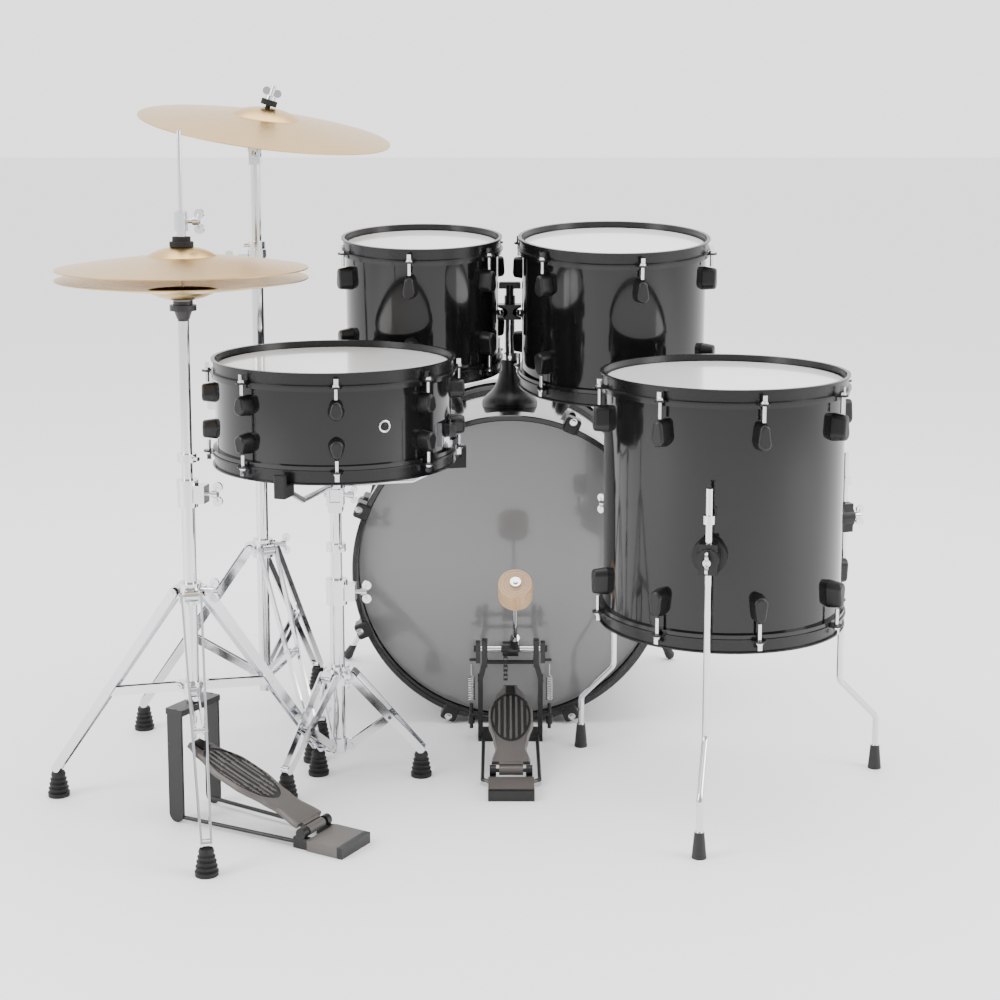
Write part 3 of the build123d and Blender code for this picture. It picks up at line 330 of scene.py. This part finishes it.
def hubFinish(name, base, other, centre, reach, ends):
    # A chrome axle with a black hub inside an oval of the given reach, and black ends past a distance in X.
    mat, tree, shader = surface(name, base)
    local = localPoint(tree, centre)
    oval = tree.nodes.new("ShaderNodeVectorMath")
    oval.operation = "DIVIDE"
    oval.inputs[1].default_value = reach
    tree.links.new(local, oval.inputs[0])
    length = tree.nodes.new("ShaderNodeVectorMath")
    length.operation = "LENGTH"
    tree.links.new(oval.outputs[0], length.inputs[0])
    split = tree.nodes.new("ShaderNodeSeparateXYZ")
    tree.links.new(local, split.inputs[0])
    hub = math2(tree, "LESS_THAN", length.outputs["Value"], 1)
    outside = math2(tree, "GREATER_THAN", math2(tree, "ABSOLUTE", split.outputs["X"]), ends)
    inside = math2(tree, "MAXIMUM", hub, outside)
    colour = mixColour(tree, inside, shader.inputs["Base Color"].links[0].from_socket, other["colour"])
    tree.links.new(colour, shader.inputs["Base Color"])
    rough = math2(tree, "ADD", shader.inputs["Roughness"].links[0].from_socket,
                  math2(tree, "MULTIPLY", inside, other["roughness"] - base["roughness"]))
    tree.links.new(rough, shader.inputs["Roughness"])
    tree.links.new(math2(tree, "SUBTRACT", 1.0, inside), shader.inputs["Metallic"])
    return mat


axleSpot = jointPlace["beater_swing"]
paint("pedal_axle", hubFinish("axleChrome", chromeLook, castLook, axleSpot, (0.0155, 0.036, 0.036), 0.0485))
print("CAD pieces painted")


# Modelled pieces
def makePiece(name, verts, faces, mats, body, replaced=(), faceMats=None, smooth=True):
    mesh = bpy.data.meshes.new(name)
    mesh.from_pydata([tuple(v) for v in verts], [], faces)
    for mat in mats:
        mesh.materials.append(mat)
    for index, polygon in enumerate(mesh.polygons):
        polygon.use_smooth = smooth
        if faceMats:
            polygon.material_index = faceMats[index]
    work = bmesh.new()
    work.from_mesh(mesh)
    bmesh.ops.recalc_face_normals(work, faces=work.faces)
    work.to_mesh(mesh)
    work.free()
    obj = bpy.data.objects.new(name, mesh)
    bpy.context.collection.objects.link(obj)
    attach(obj, body)
    if replaced:
        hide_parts(*replaced)
    return obj


def blendThrough(points, u):
    # Smoothly eased value at u between (u, value) points.
    for (u0, a), (u1, b) in zip(points, points[1:]):
        if u <= u1:
            t = max(0, min(1, (u - u0) / (u1 - u0)))
            t = t * t * (3 - 2 * t)
            return a + (b - a) * t
    return points[-1][1]


board = {"top": 0.0078, "under": 0.0012, "lip": 0.0009, "recess": 0.0016, "rib": 0.0015, "ribCount": 7,
         "ovalWidth": 0.0318, "ovalReach": 0.3, "ovalPlace": 0.6, "along": 180, "across": 90}


def makeFootboard(name, node, jointName, toeAim, toeHalf):
    # Pedal board with a dipped dark oval and straight grip ribs in it.
    hinge = jointPlace[jointName].copy()
    run = toeAim - hinge
    length = run.length
    run.normalize()
    side = run.cross(Vector((0, 0, 1))).normalized()
    up = side.cross(run)
    halfAt = [(0.0, 0.0295), (0.07, 0.030), (0.22, 0.0245), (0.32, 0.0275), (0.52, 0.0353), (0.68, 0.0353),
              (0.88, 0.0225), (1.0, toeHalf)]
    verts, faces, mats = [], [], []
    along, across = board["along"], board["across"]
    start = 0.011 / length
    for layer in (0, 1):
        for i in range(along + 1):
            u = start + (1 - start) * i / along
            half = blendThrough(halfAt, u)
            for j in range(across + 1):
                f = 2 * j / across - 1
                v = half * f
                oval = ((u - board["ovalPlace"]) / board["ovalReach"]) ** 2 + (v / board["ovalWidth"]) ** 2
                if layer == 0:
                    edge = min(1, (1 - abs(f)) * half / 0.0035)
                    n = board["top"] + board["lip"] * max(0, 1 - abs((1 - abs(f)) * half - 0.003) / 0.0022)
                    n -= 0.0026 * (1 - edge) ** 2
                    if oval < 1:
                        n = board["top"] - board["recess"]
                        stripe = abs(((v / board["ovalWidth"]) * board["ribCount"] / 2 + 0.5) % 1 - 0.5)
                        if oval < 0.8 and stripe < 0.2:
                            n += board["rib"]
                else:
                    n = board["under"]
                verts.append(hinge + run * (u * length) + side * v + up * n)
    row = across + 1
    second = (along + 1) * row
    for i in range(along):
        u = start + (1 - start) * (i + 0.5) / along
        half = blendThrough(halfAt, u)
        for j in range(across):
            a = i * row + j
            faces.append((a, a + 1, a + row + 1, a + row))
            v = half * (2 * (j + 0.5) / across - 1)
            oval = ((u - board["ovalPlace"]) / board["ovalReach"]) ** 2 + (v / board["ovalWidth"]) ** 2
            stripe = abs(((v / board["ovalWidth"]) * board["ribCount"] / 2 + 0.5) % 1 - 0.5)
            mats.append(1 if oval < 1 and not (oval < 0.8 and stripe < 0.2) else 0)
            faces.append((second + a, second + a + row, second + a + row + 1, second + a + 1))
            mats.append(0)
    rim = [j for j in range(row)] + [i * row + across for i in range(1, along + 1)]
    rim += [along * row + j for j in range(across - 1, -1, -1)] + [i * row for i in range(along - 1, 0, -1)]
    for a, b in zip(rim, rim[1:] + rim[:1]):
        faces.append((a, b, second + b, second + a))
        mats.append(0)
    addKnuckle(verts, faces, mats, hinge, side, 0.0185, 0.0074, 28)
    addBox(verts, faces, mats, hinge + run * 0.0115 + up * 0.0035, run, side, up, (0.012, 0.037, 0.008), 0)
    addBox(verts, faces, mats, hinge + run * (length - 0.0145) + up * 0.0092, run, side, up,
           (0.02, toeHalf * 1.25, 0.0032), 1, 0.9)
    return makePiece(name, verts, faces, [plain["taupe"], plain["casting"]], bodyOf[node],
                     (node,), mats, smooth=False)


def addKnuckle(verts, faces, mats, centre, axis, half, radius, count, mat=0):
    # A closed round bar about centre along axis.
    across = axis.orthogonal().normalized()
    other = axis.cross(across)
    first = len(verts)
    for end in (-half, half):
        for i in range(count):
            turn = 2 * math.pi * i / count
            spoke = across * radius * math.cos(turn) + other * radius * math.sin(turn)
            verts.append(centre + axis * end + spoke)
    for i in range(count):
        k = (i + 1) % count
        faces.append((first + i, first + k, first + count + k, first + count + i))
        mats.append(mat)
    faces.append(tuple(range(first + count - 1, first - 1, -1)))
    faces.append(tuple(range(first + count, first + 2 * count)))
    mats.extend((mat, mat))


def addBox(verts, faces, mats, centre, along, across, up, size, mat=0, taper=1.0):
    # A closed block on its own axes.
    first = len(verts)
    for k in (-0.5, 0.5):
        for i, j in ((-0.5, -0.5), (0.5, -0.5), (0.5, 0.5), (-0.5, 0.5)):
            scale = taper if k > 0 else 1.0
            level = along * size[0] * i * scale + across * size[1] * j * scale
            verts.append(centre + level + up * size[2] * k)
    for face in ((3, 2, 1, 0), (4, 5, 6, 7), (0, 1, 5, 4), (1, 2, 6, 5), (2, 3, 7, 6), (3, 0, 4, 7)):
        faces.append(tuple(first + n for n in face))
        mats.append(mat)


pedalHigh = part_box("pedal_footboard")[1]
bassToe = Vector((jointPlace["bass_pedal"].x, pedalHigh.y - 0.003, pedalHigh.z - 0.0085))
makeFootboard("bassPedalBoard", "pedal_footboard", "bass_pedal", bassToe, 0.012)
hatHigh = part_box("hihat_footboard")[1]
rodSpot = middle("hihat_pull_rod")
hatAim = jointPlace["hihat_pedal"].copy()
hatRun = Vector((rodSpot.x - hatAim.x, rodSpot.y - hatAim.y, 0)).normalized()
hatToe = Vector((hatAim.x, hatAim.y, 0)) + hatRun * 0.217 + Vector((0, 0, hatHigh.z - 0.0085))
makeFootboard("hihatPedalBoard", "hihat_footboard", "hihat_pedal", hatToe, 0.014)
print("footboards made")

# springs: two coils with hooks
spring = {"turns": 13, "radius": 0.0052, "wire": 0.0009, "steps": 18}
springLow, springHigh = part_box("pedal_springs")


def makeSprings():
    curve = bpy.data.curves.new("pedalCoils", "CURVE")
    curve.dimensions = "3D"
    curve.bevel_depth = spring["wire"]
    curve.bevel_resolution = 3
    bottom, top = springLow.z, springLow.z + 0.042
    for x in (springLow.x + 0.006, springHigh.x - 0.006):
        count = spring["turns"] * spring["steps"]
        path = []
        y = middle("pedal_springs").y
        for i in range(count + 1):
            turn = 2 * math.pi * i / spring["steps"]
            path.append((x + spring["radius"] * math.cos(turn), y + spring["radius"] * math.sin(turn),
                         bottom + 0.002 + (top - bottom - 0.004) * i / count))
        path.append((x, y, top + 0.002))
        path.append((x, y - 0.002, springHigh.z - 0.002))
        line = curve.splines.new("POLY")
        line.points.add(len(path) - 1)
        for point, place in zip(line.points, path):
            point.co = (*place, 1)
    curve.materials.append(plain["steel"])
    obj = bpy.data.objects.new("pedalCoils", curve)
    bpy.context.collection.objects.link(obj)
    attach(obj, bodyOf["pedal_springs"])
    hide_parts("pedal_springs")


makeSprings()

chainWork = {"pitch": 0.0079, "plate": 0.0034, "width": 0.0058, "thick": 0.0009}


def makeChain(name, low, high, across, body, replaced):
    # Roller chain between two points: pins, rollers and paired side plates.
    verts, faces, mats = [], [], []
    run = (high - low)
    count = max(2, round(run.length / chainWork["pitch"]))
    run.normalize()
    step = (high - low).length / count
    depth = run.cross(across)
    for i in range(count + 1):
        pin = low + run * step * i
        addKnuckle(verts, faces, mats, pin, across, chainWork["width"] / 2 + 0.0006, 0.0011, 12)
        addKnuckle(verts, faces, mats, pin, across, chainWork["width"] / 2 - 0.0012, 0.0022, 14)
        if i < count:
            inner = 0.0009 * (i % 2)
            for sign in (1, -1):
                place = pin + run * step / 2 + across * sign * (chainWork["width"] / 2 - inner)
                addBox(verts, faces, mats, place, run, across, depth,
                       (step + 0.0042, chainWork["thick"], chainWork["plate"]))
    return makePiece(name, verts, faces, [plain["blackSteel"]], body, replaced, mats, smooth=False)


chainLow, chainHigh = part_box("pedal_chain")
chainMid = middle("pedal_chain")
chainFoot = Vector((chainMid.x, chainMid.y, chainLow.z))
chainHead = Vector((chainMid.x, chainMid.y, chainHigh.z))
makeChain("pedalDriveChain", chainFoot, chainHead, Vector((1, 0, 0)), bodyOf["pedal_chain"],
          ("pedal_chain",))
print("springs and chains made")

# Snare trim
vent = {"turn": 29, "ring": 0.0078, "wire": 0.0017, "proud": 0.0012}


def makeVent():
    # Chromed ring round the snare shell's air hole, with a black disc inside it as painted shade for the dark
    # bore.
    low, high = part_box("snare_shell")
    spot = (low + high) / 2
    radius = (high.x - low.x) / 2
    aim = math.radians(vent["turn"])
    out = Vector((math.sin(aim), -math.cos(aim), 0))
    side = out.cross(Vector((0, 0, 1)))
    place = spot + out * (radius + vent["proud"] * 0.5)
    verts, faces, mats = [], [], []
    around, section = 56, 14
    for i in range(around):
        turn = 2 * math.pi * i / around
        spoke = side * math.cos(turn) + Vector((0, 0, 1)) * math.sin(turn)
        for j in range(section):
            bend = 2 * math.pi * j / section
            verts.append(place + spoke * (vent["ring"] + vent["wire"] * math.cos(bend))
                         + out * vent["wire"] * 0.8 * math.sin(bend))
    for i in range(around):
        for j in range(section):
            a, b = i * section + j, ((i + 1) % around) * section + j
            c, d = ((i + 1) % around) * section + (j + 1) % section, i * section + (j + 1) % section
            faces.append((a, b, c, d))
            mats.append(0)
    # Painted shade: a thin disc in the rubber finish fills the hole, standing in for the unlit inside of the
    # shell.
    addKnuckle(verts, faces, mats, place, out, 0.0006, vent["ring"] * 0.8, 40, 1)
    makePiece("snareVentRingAndPaintedHoleShade", verts, faces, [plain["chrome"], plain["rubber"]], bodyOf["snare_shell"],
              (), mats)


makeVent()
print("snare trim made")

# Room, lights and camera
cameraWork = {"place": (0.0417, -2.881, 1.045), "pitch": 8.4, "lens": 66.3, "shift": -0.13}
camera = bpy.data.cameras.new("camera")
camera.lens = cameraWork["lens"]
camera.sensor_width = 36
camera.shift_y = cameraWork["shift"]
cameraRig = bpy.data.objects.new("camera", camera)
cameraRig.location = cameraWork["place"]
cameraRig.rotation_euler = (math.radians(90 - cameraWork["pitch"]), 0, 0)
bpy.context.collection.objects.link(cameraRig)
bpy.context.scene.camera = cameraRig

world = bpy.data.worlds.new("paleRoom")
world.use_nodes = True
room = {"strength": 2.2, "front": 0.38}
worldTree = world.node_tree
sky = worldTree.nodes.new("ShaderNodeTexCoord")
skySplit = worldTree.nodes.new("ShaderNodeSeparateXYZ")
worldTree.links.new(sky.outputs["Generated"], skySplit.inputs[0])
shadeRange = worldTree.nodes.new("ShaderNodeMapRange")
shadeRange.interpolation_type = "SMOOTHSTEP"
shadeRange.inputs["From Min"].default_value = -0.75
shadeRange.inputs["From Max"].default_value = -0.1
shadeRange.inputs["To Min"].default_value = room["front"] * room["strength"]
shadeRange.inputs["To Max"].default_value = room["strength"]
worldTree.links.new(skySplit.outputs["Y"], shadeRange.inputs["Value"])
backdrop = worldTree.nodes["Background"]
backdrop.inputs["Color"].default_value = (1, 1, 1, 1)
worldTree.links.new(shadeRange.outputs["Result"], backdrop.inputs["Strength"])
bpy.context.scene.world = world


def softbox(name, place, aim, size, power):
    light = bpy.data.lights.new(name, "AREA")
    light.shape = "RECTANGLE"
    light.size, light.size_y = size
    light.energy = power
    lamp = bpy.data.objects.new(name, light)
    lamp.location = place
    lamp.rotation_euler = (Vector(aim) - Vector(place)).to_track_quat("-Z", "Y").to_euler()
    bpy.context.collection.objects.link(lamp)


softbox("leftBox", (-2.6, -1.6, 2.0), (0, 0, 0.5), (1.2, 2.4), 70)
softbox("rightBox", (2.8, -1.2, 1.9), (0, 0, 0.5), (1.2, 2.4), 60)
softbox("topBox", (0, 0.4, 3.2), (0, 0, 0.4), (2.6, 2.2), 60)

floorMesh = bpy.data.meshes.new("floor")
floorMesh.from_pydata([(-30, -30, 0), (30, -30, 0), (30, 30, 0), (-30, 30, 0)], [], [(0, 1, 2, 3)])
floor = bpy.data.objects.new("floor", floorMesh)
bpy.context.collection.objects.link(floor)
floorMat, _, floorShader = fresh("paleFloor")
floorShader.inputs["Base Color"].default_value = (0.97, 0.97, 0.97, 1)
floorShader.inputs["Roughness"].default_value = 0.6
floorMesh.materials.append(floorMat)
print("room ready")
